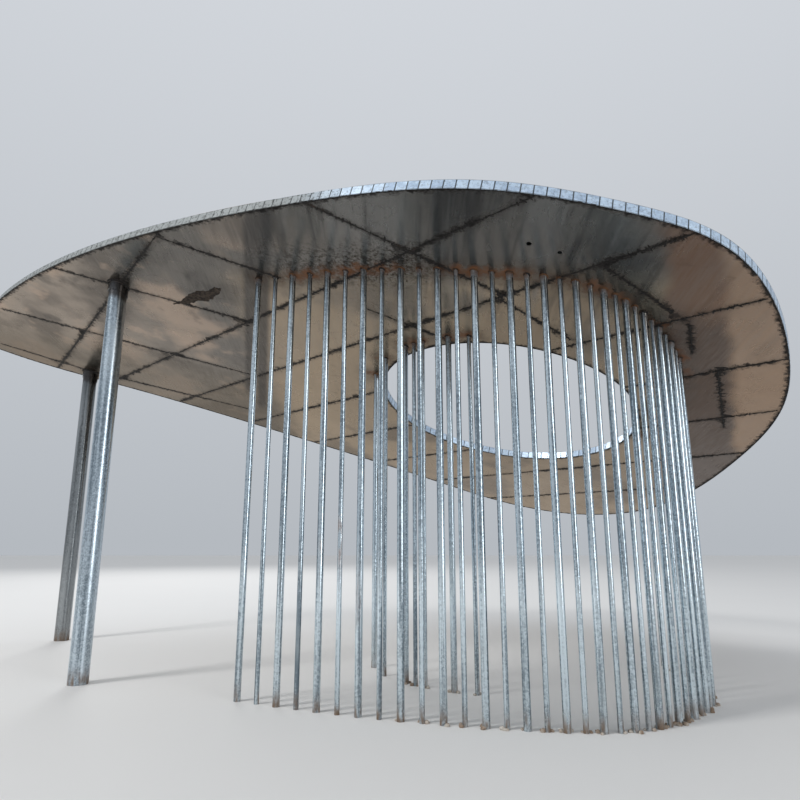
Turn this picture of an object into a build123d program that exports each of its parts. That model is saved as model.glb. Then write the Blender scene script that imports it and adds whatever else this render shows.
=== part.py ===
"""An open garden pavilion: one tilted sheet-metal roof with a round opening, on two posts and a spiral screen of tubes.

Lengths are in millimetres. The ground is z = 0, X runs to the right of the approach side and Y runs away from it.
Roof shapes are drawn in the roof's own tilted plane: u runs level along it and v runs straight down its fall.
"""

import os
from itertools import accumulate
from math import atan2, ceil, cos, degrees, hypot, pi, radians, sin

from build123d import *

os.makedirs("parts", exist_ok=True)

# Roof plane: the spot on the ground under its drawing origin, the soffit's height there, and how it falls
ROOF_DATUM = (-190.9, -13.5)
SOFFIT_HEIGHT = 3663.0
ROOF_PITCH = 17.28
FALL_HEADING = 45.0

# Roof outline, as points (u, v) that the edge curve runs through
ROOF_EDGE = [
    (-3000, -3060),
    (-1000, -2920),
    (800, -2550),
    (2500, -2010),
    (4100, -1220),
    (4790, -550),
    (5220, 80),
    (5340, 850),
    (5240, 1700),
    (4880, 2850),
    (3980, 4150),
    (2850, 5300),
    (1650, 5960),
    (500, 5880),
    (-330, 5230),
    (-960, 4120),
    (-2420, 1340),
    (-3770, -870),
    (-4690, -2350),
    (-4760, -2810),
    (-4380, -3060),
]
OCULUS_CENTRE = (1930.0, 1950.0)
OCULUS_RADIUS = 1600.0

# Edge channel: bent at even steps, closer where the outline turns tightly, with its flanges notched at each bend
BEND_PITCH = 300.0
SHARPEST_BEND = 15.0
CHANNEL_WALL = 3.0
CHANNEL_FLANGE = 45.0
NOTCH_ROOT = 8.0
NOTCH_MOUTH = 30.0

# Sheets and frame
SHEET = 3.0
JOINT = 3.0
FRAME_DEPTH = 84.0
RAFTER_WIDTH = 60.0
BEAM_WIDTH = 100.0
RAFTER_WALL = 4.0
BACKER_WIDTH = 60.0
BACKER_THICKNESS = 4.0
SEAT = 0.3

# Seams of the soffit that run level across it: v where u is nought, and the lean of v over u
SEAMS = [
    (-2373.0, -0.146),
    (-1030.0, 0.0),
    (-90.0, 0.0),
    (930.0, 0.0),
    (1930.0, 0.0),
    (2940.0, 0.0),
    (3940.0, 0.0),
    (4940.0, 0.0),
]
# Shorter seams that cross the strips, as their two ends
CROSS_SEAMS = [
    ((-4460, -2600), (-3800, -1420)),
    ((-3800, -1420), (-2050, 640)),
    ((-3060, -2970), (-950, -170)),
    ((-1080, -2920), (360, -970)),
    ((790, -2460), (1440, -1380)),
    ((2570, -2000), (3360, -70)),
    ((1890, -570), (2370, 420)),
    ((3270, -80), (3520, 830)),
    ((4330, -120), (4570, 820)),
    ((4620, 1040), (4460, 1500)),
    ((4570, 1850), (4150, 3210)),
]

# Posts, as their places on the ground
NEAR_POST = (-2160.0, -1141.0)
FAR_POST = (-3854.0, 1796.0)
POST_DIAMETER = 203.0
POST_WALL = 8.0
FOOT_PLATE = 12.0
COLLAR_WALL = 10.0
COLLAR_HEIGHT = 110.0

# Screen: the curve over the ground that its tubes follow, from the entrance round to behind the opening
SCREEN_PATH = [
    (-356, -1856),
    (808, -2403),
    (2118, -2783),
    (2944, -2813),
    (3428, -2543),
    (3900, -2010),
    (4186, -1053),
    (4208, -173),
]
WIDE_TUBE = 63.5
SLIM_TUBE = 45.0
FRONT_TUBES = 31
FIRST_PITCH = 222.0
TIGHTEST_PITCH = 115.0
TIGHTEST_STEP = 21
LAST_PITCH = 148.0
RETURN_TUBES = 7

# Short inner run of tubes outside the rim of the opening, as angles round the opening's centre on the ground
INNER_RUN_GAP = 75.0
INNER_WIDE_ANGLES = [-173.0, -141.0, -120.0]
INNER_SLIM_ANGLES = [-156.0, -136.0, -131.5, -112.0]

FAR_OUT = 9000.0

pitch, heading = radians(ROOF_PITCH), radians(FALL_HEADING)
roof = Plane(
    origin=(*ROOF_DATUM, SOFFIT_HEIGHT),
    x_dir=(sin(heading), -cos(heading), 0),
    z_dir=(sin(pitch) * cos(heading), sin(pitch) * sin(heading), cos(pitch)),
)
frame_level = roof.offset(SHEET)
top_flange_level = roof.offset(SHEET + FRAME_DEPTH - CHANNEL_WALL)
deck_level = roof.offset(SHEET + FRAME_DEPTH)
oculus_on_ground = roof.from_local_coords(Vector(*OCULUS_CENTRE, 0))


def bends(edge):
    """Where the edge channel bends, and which way it heads there."""
    count = round(edge.length / BEND_PITCH)
    places = []
    for index in range(count):
        turn = edge.tangent_at(index / count).get_angle(edge.tangent_at((index + 1) / count))
        parts = max(1, ceil(turn / SHARPEST_BEND))
        for part in range(parts):
            share = (index + part / parts) / count
            along = edge.tangent_at(share)
            places.append((edge.position_at(share), degrees(atan2(along.Y, along.X))))
    return places


with BuildLine() as edge_curve:
    Spline(*ROOF_EDGE, periodic=True)
roof_bends = bends(edge_curve.edge())

with BuildSketch() as roof_outline:
    with BuildLine():
        Polyline(*[(place.X, place.Y) for place, _ in roof_bends], close=True)
    make_face()

oculus_bends = round(2 * pi * OCULUS_RADIUS / BEND_PITCH)
with BuildSketch() as oculus:
    with Locations(OCULUS_CENTRE):
        RegularPolygon(OCULUS_RADIUS, oculus_bends)


def grown(outline, amount):
    """An outline moved outward all round, or inward where the amount is negative, with its corners kept."""
    with BuildSketch() as moved:
        add(outline.sketch)
        offset(amount=amount, kind=Kind.INTERSECTION, mode=Mode.REPLACE)
    return moved


def notches(places):
    """The wedges cut out of a flange, each opening away from the web along local x."""
    with BuildSketch() as cuts:
        for x, y, angle in places:
            with Locations(Location((x, y, 0), angle)):
                Polygon(
                    (NOTCH_ROOT, 0),
                    (CHANNEL_FLANGE + CHANNEL_WALL, -NOTCH_MOUTH / 2),
                    (CHANNEL_FLANGE + CHANNEL_WALL, NOTCH_MOUTH / 2),
                    align=None,
                )
    return cuts


roof_notches = notches([(place.X, place.Y, along + 90) for place, along in roof_bends])
oculus_notches = notches(
    [
        (
            OCULUS_CENTRE[0] + OCULUS_RADIUS * cos(radians(angle)),
            OCULUS_CENTRE[1] + OCULUS_RADIUS * sin(radians(angle)),
            angle,
        )
        for angle in [360 * index / oculus_bends for index in range(oculus_bends)]
    ]
)
web_inside = grown(roof_outline, -CHANNEL_WALL)
flange_inside = grown(roof_outline, -CHANNEL_FLANGE)
frame_limit = grown(roof_outline, -CHANNEL_FLANGE - SEAT)
oculus_web = grown(oculus, CHANNEL_WALL)
oculus_flange = grown(oculus, CHANNEL_FLANGE)
oculus_clear = grown(oculus, CHANNEL_FLANGE + SEAT)


def seam_at(seam, u):
    """The v of a seam at one u."""
    start, lean = seam
    return start + lean * u


def seam_ends(seam):
    """The two ends of a seam, well outside the roof."""
    return (-FAR_OUT, seam_at(seam, -FAR_OUT)), (FAR_OUT, seam_at(seam, FAR_OUT))


def shape(points, mode):
    """A straight-sided face through points, joined to the sketch in one mode."""
    with BuildLine() as edge:
        Polyline(*points, close=True)
    make_face(edge.edges(), mode=mode)


def band(ends, width, mode=Mode.ADD):
    """A straight band of one width along the line between two ends."""
    (u0, v0), (u1, v1) = ends
    length = hypot(u1 - u0, v1 - v0)
    du, dv = (v0 - v1) / length * width / 2, (u1 - u0) / length * width / 2
    shape([(u0 + du, v0 + dv), (u1 + du, v1 + dv), (u1 - du, v1 - dv), (u0 - du, v0 - dv)], mode)


def wedge(centre, start, end):
    """Keeps what lies between two angles round a centre."""
    rim = [
        (centre[0] + 2 * FAR_OUT * cos(radians(angle)), centre[1] + 2 * FAR_OUT * sin(radians(angle)))
        for angle in (start, (start + end) / 2, end)
    ]
    shape([centre, *rim], Mode.INTERSECT)


def strip(above, below, left, right):
    """Keeps what lies between two seams and two values of u, less half a joint on each side."""
    half = JOINT / 2
    left, right = left + half, right - half
    top = [-FAR_OUT if above is None else seam_at(above, u) + half for u in (left, right)]
    low = [FAR_OUT if below is None else seam_at(below, u) - half for u in (left, right)]
    shape([(left, top[0]), (right, top[1]), (right, low[1]), (left, low[0])], Mode.INTERSECT)


def sheet(level, above, below, left, right, cuts=()):
    """A strip of roof sheeting trimmed to the roof's outline and to the opening, cut at its cross seams."""
    with BuildSketch(level) as outline:
        add(roof_outline.sketch)
        add(oculus.sketch, mode=Mode.SUBTRACT)
        strip(above, below, left, right)
        for cut in cuts:
            band(cut, JOINT, mode=Mode.SUBTRACT)
    extrude(outline.sketch, amount=SHEET)


def inside_frame():
    """Keeps what lies inside the edge channel and clear of the channel round the opening."""
    add(frame_limit.sketch, mode=Mode.INTERSECT)
    add(oculus_clear.sketch, mode=Mode.SUBTRACT)


def rafter(seam, width):
    """A box section laid flat behind one seam, open at its ends."""
    with BuildSketch(frame_level) as outside:
        band(seam_ends(seam), width)
        inside_frame()
    extrude(outside.sketch, amount=FRAME_DEPTH)
    with BuildSketch(frame_level.offset(RAFTER_WALL)) as hollow:
        band(seam_ends(seam), width - 2 * RAFTER_WALL)
        inside_frame()
    extrude(hollow.sketch, amount=FRAME_DEPTH - 2 * RAFTER_WALL, mode=Mode.SUBTRACT)


def channel(web, web_cut, flange, flange_cut, cuts, centre, start, end):
    """A length of channel between two angles: a web, and two flanges that are notched at each bend."""
    with BuildSketch(frame_level) as web_outline:
        add(web.sketch)
        add(web_cut.sketch, mode=Mode.SUBTRACT)
        wedge(centre, start, end)
    extrude(web_outline.sketch, amount=FRAME_DEPTH)
    for level in (frame_level, top_flange_level):
        with BuildSketch(level) as flange_outline:
            add(flange.sketch)
            add(flange_cut.sketch, mode=Mode.SUBTRACT)
            add(cuts.sketch, mode=Mode.SUBTRACT)
            wedge(centre, start, end)
        extrude(flange_outline.sketch, amount=CHANNEL_WALL)


def tubes(places, diameter):
    """Upright tubes at places on the ground, closed by the ground and by the soffit that cuts them to its slope."""
    with BuildSketch() as sections:
        with Locations(*places):
            Circle(diameter / 2)
    extrude(sections.sketch, amount=2 * SOFFIT_HEIGHT)
    split(bisect_by=roof, keep=Keep.BOTTOM)


def post(place):
    """A hollow round post with a closed foot, and a sleeve round its head under the soffit."""
    radius, high = POST_DIAMETER / 2, 2 * SOFFIT_HEIGHT
    with BuildSketch(roof.offset(-COLLAR_HEIGHT)) as above_collar:
        Rectangle(2 * FAR_OUT, 2 * FAR_OUT)
    with BuildSketch() as sleeve:
        with Locations(place):
            Circle(radius + COLLAR_WALL)
    extrude(sleeve.sketch, amount=high)
    extrude(above_collar.sketch, amount=-high, mode=Mode.SUBTRACT)
    with BuildSketch() as outside:
        with Locations(place):
            Circle(radius)
    extrude(outside.sketch, amount=high)
    split(bisect_by=roof, keep=Keep.BOTTOM)
    with BuildSketch(Plane.XY.offset(FOOT_PLATE)) as bore:
        with Locations(place):
            Circle(radius - POST_WALL)
    extrude(bore.sketch, amount=high, mode=Mode.SUBTRACT)


def screen_places():
    """Where the screen's tubes stand: closer and closer along the front, then wider again, then evenly to the end."""
    with BuildLine() as path:
        Spline(*SCREEN_PATH)
    curve = path.edge()
    closing = (FIRST_PITCH - TIGHTEST_PITCH) / TIGHTEST_STEP
    opening = (LAST_PITCH - TIGHTEST_PITCH) / (FRONT_TUBES - 1 - TIGHTEST_STEP)
    steps = [FIRST_PITCH - closing * number for number in range(TIGHTEST_STEP)]
    steps += [TIGHTEST_PITCH + opening * number for number in range(FRONT_TUBES - 1 - TIGHTEST_STEP)]
    steps += [(curve.length - sum(steps)) / RETURN_TUBES] * RETURN_TUBES
    stations = accumulate(steps, initial=0)
    points = [curve.position_at(station, position_mode=PositionMode.LENGTH) for station in stations]
    return [(point.X, point.Y) for point in points]


def on_inner_run(angles):
    """Places under the rim of the opening, from angles round its centre."""
    centre, radius = oculus_on_ground, OCULUS_RADIUS + INNER_RUN_GAP
    return [(centre.X + radius * cos(radians(a)), centre.Y + radius * sin(radians(a))) for a in angles]


def seam_numbered(number):
    """A level seam by its number, or none past the roof's edge."""
    return None if number is None else SEAMS[number]


pieces = {}
middle = OCULUS_CENTRE[0]
everywhere, left_side, right_side = (-FAR_OUT, FAR_OUT), (-FAR_OUT, middle), (middle, FAR_OUT)

# Soffit strips: the seams above and below each, and its reach across
soffits = {
    "soffit_1": (None, 0, everywhere),
    "soffit_2": (0, 1, everywhere),
    "soffit_3": (1, 2, everywhere),
    "soffit_4_left": (2, 3, left_side),
    "soffit_4_right": (2, 3, right_side),
    "soffit_5_left": (3, 4, left_side),
    "soffit_5_right": (3, 4, right_side),
    "soffit_6_left": (4, 5, left_side),
    "soffit_6_right": (4, 5, right_side),
    "soffit_7_left": (5, 6, left_side),
    "soffit_7_right": (5, 6, right_side),
    "soffit_8": (6, 7, everywhere),
    "soffit_9": (7, None, everywhere),
}
for name, (above, below, reach) in soffits.items():
    with BuildPart() as soffit_strip:
        sheet(roof, seam_numbered(above), seam_numbered(below), *reach, CROSS_SEAMS)
    pieces[name] = soffit_strip

# Deck sheets on top, with a joint over every second rafter
decks = {
    "deck_1": (None, 1, everywhere),
    "deck_2_left": (1, 3, left_side),
    "deck_2_right": (1, 3, right_side),
    "deck_3_left": (3, 5, left_side),
    "deck_3_right": (3, 5, right_side),
    "deck_4_left": (5, None, left_side),
    "deck_4_right": (5, None, right_side),
}
for name, (above, below, reach) in decks.items():
    with BuildPart() as deck_sheet:
        sheet(deck_level, seam_numbered(above), seam_numbered(below), *reach)
    pieces[name] = deck_sheet

# Frame between the sheets
with BuildPart() as main_beam:
    rafter(SEAMS[0], BEAM_WIDTH)
pieces["main_beam"] = main_beam

rafter_groups = {"rafters_upper": SEAMS[1:3], "rafters_middle": SEAMS[3:6], "rafters_lower": SEAMS[6:]}
for name, seams in rafter_groups.items():
    with BuildPart() as box_rafters:
        for seam in seams:
            rafter(seam, RAFTER_WIDTH)
    pieces[name] = box_rafters

with BuildPart() as seam_backers:
    with BuildSketch(frame_level):
        for ends in CROSS_SEAMS:
            band(ends, BACKER_WIDTH)
        inside_frame()
        band(seam_ends(SEAMS[0]), BEAM_WIDTH + 2 * SEAT, mode=Mode.SUBTRACT)
        for number in range(1, len(SEAMS)):
            band(seam_ends(SEAMS[number]), RAFTER_WIDTH + 2 * SEAT, mode=Mode.SUBTRACT)
    extrude(amount=BACKER_THICKNESS)
pieces["seam_backers"] = seam_backers

# Notched channel round the roof, with its flanges inward, and round the opening, with its flanges outward
roof_rings = (roof_outline, web_inside, roof_outline, flange_inside, roof_notches, (0, 0))
for number in range(6):
    with BuildPart() as edge_piece:
        channel(*roof_rings, 60 * number, 60 * (number + 1))
    pieces[f"edge_channel_{number + 1}"] = edge_piece

oculus_rings = (oculus_web, oculus, oculus_flange, oculus, oculus_notches, OCULUS_CENTRE)
for number in range(4):
    with BuildPart() as oculus_piece:
        channel(*oculus_rings, 90 * number, 90 * (number + 1))
    pieces[f"oculus_channel_{number + 1}"] = oculus_piece

# Posts
with BuildPart() as near_post:
    post(NEAR_POST)
pieces["near_post"] = near_post

with BuildPart() as far_post:
    post(FAR_POST)
pieces["far_post"] = far_post

# Screen tubes, wide and slim in turn
places = screen_places()
wide_places, slim_places = places[::2], places[1::2]
front_runs = {"left": (0, 5), "middle": (5, 10), "right": (10, 15)}
for side, (first, last) in front_runs.items():
    with BuildPart() as wide_tubes:
        tubes(wide_places[first:last], WIDE_TUBE)
    pieces[f"wide_tubes_{side}"] = wide_tubes
    with BuildPart() as slim_tubes:
        tubes(slim_places[first:last], SLIM_TUBE)
    pieces[f"slim_tubes_{side}"] = slim_tubes

with BuildPart() as return_tubes:
    tubes(wide_places[15:], WIDE_TUBE)
    tubes(slim_places[15:], SLIM_TUBE)
pieces["return_tubes"] = return_tubes

with BuildPart() as inner_tubes:
    tubes(on_inner_run(INNER_WIDE_ANGLES), WIDE_TUBE)
    tubes(on_inner_run(INNER_SLIM_ANGLES), SLIM_TUBE)
pieces["inner_tubes"] = inner_tubes

for name, piece in pieces.items():
    piece.part.label = name
    export_step(piece.part, f"parts/{name}.step")
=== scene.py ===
"""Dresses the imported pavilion: smooth roof sheets, creased edge strips, welds, stains and galvanised finishes.

Lengths are in metres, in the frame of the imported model. Roof pieces are drawn in the roof's own tilted plane,
where u runs level, v runs straight down the fall and w stands up from the soffit's underside.
"""

from __future__ import annotations

import logging
import math
import random
from collections.abc import Iterable, Iterator, Sequence
from dataclasses import dataclass, field, replace
from enum import Enum
import bmesh
import bpy
import numpy as np
from mathutils import Matrix, Vector, geometry, noise


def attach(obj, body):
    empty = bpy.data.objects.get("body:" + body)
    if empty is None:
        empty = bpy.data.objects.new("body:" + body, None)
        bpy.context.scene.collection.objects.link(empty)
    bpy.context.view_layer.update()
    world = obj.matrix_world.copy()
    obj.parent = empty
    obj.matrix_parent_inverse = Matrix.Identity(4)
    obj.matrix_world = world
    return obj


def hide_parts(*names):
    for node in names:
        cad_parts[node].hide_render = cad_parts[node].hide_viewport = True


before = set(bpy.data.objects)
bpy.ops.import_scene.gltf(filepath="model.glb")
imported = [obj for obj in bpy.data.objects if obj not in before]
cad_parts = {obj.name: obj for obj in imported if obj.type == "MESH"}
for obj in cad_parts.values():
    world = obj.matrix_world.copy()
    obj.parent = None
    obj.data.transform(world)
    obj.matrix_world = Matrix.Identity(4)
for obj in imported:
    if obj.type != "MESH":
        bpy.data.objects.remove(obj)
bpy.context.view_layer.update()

log = logging.getLogger("pavilion")

Pair = tuple[float, float]
Triple = tuple[float, float, float]
Colour = Triple
Line = tuple[Pair, Pair]
Foot = tuple[Vector, float]
Mesh = bmesh.types.BMesh
Material = bpy.types.Material
Socket = bpy.types.NodeSocket

SHARP_TURN = math.radians(35)
TOUCH = 1e-5
FAR = 9.0
EVEN = (1.0, 1.0, 1.0)


class Slot(Enum):
    """The record's material slots, named here but not given to the pieces."""

    SOFFIT = "soffit_sheet"
    DECK = "deck_sheet"
    CHANNEL = "edge_channel"
    POST = "post"
    TUBE = "tube"


@dataclass(frozen=True)
class RoofPlane:
    """The tilted plane of the soffit's underside."""

    datum: Triple = (-0.1909, -0.0135, 3.663)
    pitch: float = math.radians(17.28)
    depth: float = 0.090
    sheet: float = 0.003

    @property
    def normal(self) -> Vector:
        """The upward normal of the plane."""
        across = math.sin(self.pitch) * math.sqrt(0.5)
        return Vector((across, across, math.cos(self.pitch)))

    @property
    def matrix(self) -> Matrix:
        """Turns plane coordinates (u, v, w) into the model's."""
        level = Vector((math.sqrt(0.5), -math.sqrt(0.5), 0.0))
        turned = Matrix((level, self.normal.cross(level), self.normal)).transposed().to_4x4()
        turned.translation = self.datum
        return turned

    def local(self, point: Vector) -> Vector:
        """A point of the model in plane coordinates."""
        return self.matrix.inverted() @ point

    def head(self, foot: Vector) -> Vector:
        """The plane coordinates of the spot on the soffit above a place on the ground."""
        rise = self.normal.dot(Vector(self.datum) - flat(foot.x, foot.y)) / self.normal.z
        return self.local(Vector((foot.x, foot.y, rise)))


PLANE = RoofPlane()


def flat(u: float, v: float) -> Vector:
    """A point or a direction that lies in its own level."""
    return Vector((u, v, 0.0))


def turns(count: int) -> list[float]:
    """Even angles round a circle."""
    return [2 * math.pi * index / count for index in range(count)]


def rows(places: Iterable[Vector]) -> np.ndarray:
    """One row (u, v) a place."""
    return np.array([(place.x, place.y) for place in places])


def closed_lines(loop: Sequence[Vector]) -> list[Line]:
    """The straight lines between the points of a closed loop."""
    return [((loop[i - 1].x, loop[i - 1].y), (p.x, p.y)) for i, p in enumerate(loop)]


def closed_edges(bm: Mesh, places: Iterable[Vector]) -> list[bmesh.types.BMEdge]:
    """Adds a closed ring of edges through some places."""
    ring = [bm.verts.new(place) for place in places]
    return [bm.edges.new((ring[index - 1], vertex)) for index, vertex in enumerate(ring)]


def made_verts(made: dict[str, list]) -> list[bmesh.types.BMVert]:
    """The vertices among what a bmesh operator made."""
    return [item for item in made["geom"] if isinstance(item, bmesh.types.BMVert)]


def distances(points: np.ndarray, lines: Sequence[Line]) -> np.ndarray:
    """The distance in the plane from each point to the nearest of some straight lines.

    Args:
        points: One row (u, v) a point.
        lines: The two ends of each line.

    Returns:
        One distance a point.
    """
    nearest = np.full(len(points), np.inf)
    for start, end in lines:
        a, run = np.array(start), np.array(end) - np.array(start)
        share = np.clip(((points - a) @ run) / max(float(run @ run), 1e-12), 0.0, 1.0)
        nearest = np.minimum(nearest, np.linalg.norm(points - a - share[:, None] * run, axis=1))
    return nearest


def inside(points: np.ndarray, loop: Sequence[Vector]) -> np.ndarray:
    """Whether each point lies inside a closed loop.

    Args:
        points: One row (u, v) a point.
        loop: The loop's corners.

    Returns:
        One answer a point.
    """
    found = np.zeros(len(points), bool)
    for index, end in enumerate(loop):
        start = loop[index - 1]
        crosses = (start.y > points[:, 1]) != (end.y > points[:, 1])
        if abs(end.y - start.y) > 1e-9:
            at = (end.x - start.x) * (points[:, 1] - start.y) / (end.y - start.y) + start.x
            found ^= crosses & (points[:, 0] < at)
    return found


def dress(piece: bpy.types.Object, material: Material) -> None:
    """Gives a piece its one material."""
    piece.data.materials.clear()
    piece.data.materials.append(material)


def link(
    name: str,
    bm: Mesh,
    finish: Material,
    nodes: Sequence[str] = (),
    smooth: bool = True,
    tilted: bool = True,
) -> bpy.types.Object:
    """Makes a finished bmesh a piece of the pavilion.

    Args:
        name: The piece's name.
        bm: Its mesh, which is freed.
        finish: Its material.
        nodes: The CAD nodes it stands for.
        smooth: Whether its faces are shaded smooth.
        tilted: Whether it is drawn in the roof's plane.

    Returns:
        The new object.
    """
    if tilted:
        bmesh.ops.transform(bm, matrix=PLANE.matrix, verts=bm.verts[:])
    for edge in bm.edges:
        edge.smooth = edge.calc_face_angle(0.0) < SHARP_TURN
    for face in bm.faces:
        face.smooth = smooth
    mesh = bpy.data.meshes.new(name)
    bm.to_mesh(mesh)
    bm.free()
    piece = bpy.data.objects.new(name, mesh)
    bpy.context.scene.collection.objects.link(piece)
    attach(piece, "root")
    if nodes:
        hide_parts(*nodes)
    dress(piece, finish)
    log.info("%s: %d faces", name, len(mesh.polygons))
    return piece


@dataclass
class Layout:
    """Where things lie on the roof and on the ground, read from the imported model."""

    trim: float = 0.9990
    flat_length: float = 0.1
    oculus_centre: Pair = (1.93, 1.95)
    oculus_radius: float = 1.6
    oculus_room: float = 0.002
    oculus_flats: int = 102
    reach: Pair = (-6.0, 6.5)
    rim_room: float = 0.03
    tube_room: float = 0.066
    post_room: float = 0.3
    web_height: float = 0.05
    web_facing: float = 0.1
    web_foot: float = 0.01
    ground: float = 0.001
    least_gap: float = 0.02
    least_bend: float = math.radians(0.25)
    level_seams: tuple[Pair, ...] = (
        (-2.373, -0.146), (-1.03, 0.0), (-0.09, 0.0), (0.93, 0.0), (1.93, 0.0), (2.94, 0.0), (3.94, 0.0), (4.94, 0.0),
    )
    deck_seams: tuple[int, ...] = (1, 3, 5)
    cross_seams: tuple[Line, ...] = (
        ((-4.46, -2.6), (-3.8, -1.42)), ((-3.8, -1.42), (-2.05, 0.64)), ((-3.06, -2.97), (-0.95, -0.17)),
        ((-1.08, -2.92), (0.36, -0.97)), ((0.79, -2.46), (1.44, -1.38)), ((2.57, -2.0), (3.36, -0.07)),
        ((1.89, -0.57), (2.37, 0.42)), ((3.27, -0.08), (3.52, 0.83)), ((4.33, -0.12), (4.57, 0.82)),
        ((4.62, 1.04), (4.46, 1.5)), ((4.57, 1.85), (4.15, 3.21)),
    )
    outline: list[Vector] = field(default_factory=list)
    oculus: list[Vector] = field(default_factory=list)
    tubes: list[Foot] = field(default_factory=list)
    posts: list[Foot] = field(default_factory=list)

    def __post_init__(self) -> None:
        """Reads the outline, the tubes and the posts from the CAD nodes."""
        channels = [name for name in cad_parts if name.startswith("edge_channel")]
        self.outline = [p * self.trim for p in self.smoothed(self.bends(channels))]
        radius = self.oculus_radius + self.oculus_room
        for turn in turns(self.oculus_flats):
            self.oculus.append(flat(*self.oculus_centre) + flat(math.cos(turn), math.sin(turn)) * radius)
        for name in sorted(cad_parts):
            if name.endswith("_tubes") or name.startswith(("wide_tubes", "slim_tubes")):
                self.tubes += self.feet(name, self.tube_room)
            elif name.endswith("_post"):
                self.posts += self.feet(name, self.post_room)

    def bends(self, channels: Iterable[str]) -> list[Vector]:
        """Finds the bends of the edge channel's outer face.

        Args:
            channels: The channel's CAD nodes.

        Returns:
            The bends in plane coordinates, in order round the roof.
        """
        corners: dict[Pair, Vector] = {}
        turned = PLANE.matrix.to_3x3().inverted()
        for name in channels:
            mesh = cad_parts[name].data
            for polygon in mesh.polygons:
                facing = turned @ polygon.normal
                outward = PLANE.local(polygon.center).xy.normalized()
                places = [PLANE.local(mesh.vertices[index].co) for index in polygon.vertices]
                tall = max(p.z for p in places) - min(p.z for p in places)
                if tall >= self.web_height and facing.xy.dot(outward) >= self.web_facing:
                    for place in places:
                        if place.z < self.web_foot:
                            corners[(round(place.x, 3), round(place.y, 3))] = flat(place.x, place.y)
        ordered = sorted(corners.values(), key=lambda p: math.atan2(p.y, p.x))
        apart = [p for i, p in enumerate(ordered) if (p - ordered[i - 1]).length > self.least_gap]
        kept = []
        for index, place in enumerate(apart):
            before, after = apart[index - 1], apart[(index + 1) % len(apart)]
            if (place - before).angle(after - place) > self.least_bend:
                kept.append(place)
        return kept

    def smoothed(self, corners: Sequence[Vector]) -> list[Vector]:
        """Draws a smooth closed loop through corners.

        Args:
            corners: The loop's corners, in order.

        Returns:
            Its points, with each stretch in equal parts of about one flat's length.
        """

        def heading(before: Vector, at: Vector, after: Vector) -> Vector:
            """The way the loop runs at one corner."""
            back, on = at - before, after - at
            return (back.normalized() * on.length + on.normalized() * back.length).normalized()

        loop: list[Vector] = []
        count = len(corners)
        for index, start in enumerate(corners):
            before, end, after = corners[index - 1], corners[(index + 1) % count], corners[(index + 2) % count]
            reach = (end - start).length / 3
            parts = max(1, round(3 * reach / self.flat_length))
            leaving = start + heading(before, start, end) * reach
            arriving = end - heading(start, end, after) * reach
            loop += geometry.interpolate_bezier(start, leaving, arriving, end, parts + 1)[:-1]
        return loop

    def feet(self, node: str, room: float) -> list[Foot]:
        """Finds the round feet of a node from its points on the ground.

        Args:
            node: The CAD node.
            room: A distance wider than one foot and narrower than the gap between two.

        Returns:
            The centre and radius of each foot.
        """
        groups: list[list[Vector]] = []
        for place in [v.co.copy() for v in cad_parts[node].data.vertices if v.co.z <= self.ground]:
            group = next((group for group in groups if (group[0] - place).length < room), None)
            if group is None:
                groups.append([place])
            else:
                group.append(place)
        found = []
        for group in groups:
            low, high = (flat(pick(p.x for p in group), pick(p.y for p in group)) for pick in (min, max))
            found.append(((low + high) / 2, max(high.x - low.x, high.y - low.y) / 2))
        return found

    def rims(self, gap: float) -> list[list[Vector]]:
        """The roof's outline and the opening's rim, moved into the sheet by a gap."""
        centre = flat(*self.oculus_centre)
        outer = [p - p.normalized() * gap for p in self.outline]
        return [outer, [p + (p - centre).normalized() * gap for p in self.oculus]]

    def covers(self, points: np.ndarray) -> np.ndarray:
        """Whether each point (u, v) lies on the roof, well inside its rims."""
        outline, oculus = self.rims(self.rim_room)
        return inside(points, outline) & ~inside(points, oculus)

    def on_roof(self, start: Pair, end: Pair, steps: int = 2500) -> list[Line]:
        """Finds the stretches of a straight line that lie on the roof.

        Args:
            start: One end of the line.
            end: Its other end.
            steps: How many steps it is tried in.

        Returns:
            The two ends of each stretch.
        """
        share = np.linspace(0.0, 1.0, steps + 1)[:, None]
        points = (1.0 - share) * np.array(start) + share * np.array(end)
        lines, first = [], None
        for index, covered in enumerate(self.covers(points)):
            if covered and first is None:
                first = index
            if first is not None and (not covered or index == steps):
                lines.append((tuple(points[first]), tuple(points[index - 1])))
                first = None
        return lines

    def level_lines(self, seams: Iterable[int]) -> list[Line]:
        """The stretches on the roof of some of the level seams."""
        low, high = self.reach
        runs = [self.level_seams[seam] for seam in seams]
        return [line for v, lean in runs for line in self.on_roof((low, v + lean * low), (high, v + lean * high))]

    def seam_lines(self) -> list[Line]:
        """Every seam of the soffit."""
        return self.level_lines(range(len(self.level_seams))) + list(self.cross_seams)

    def deck_lines(self) -> list[Line]:
        """Every seam of the deck: each second level seam, and the joint on either side of the opening."""
        middle, top = self.oculus_centre[0], self.level_seams[self.deck_seams[0]][0]
        return self.level_lines(self.deck_seams) + self.on_roof((middle, top), (middle, self.reach[1]))


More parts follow.
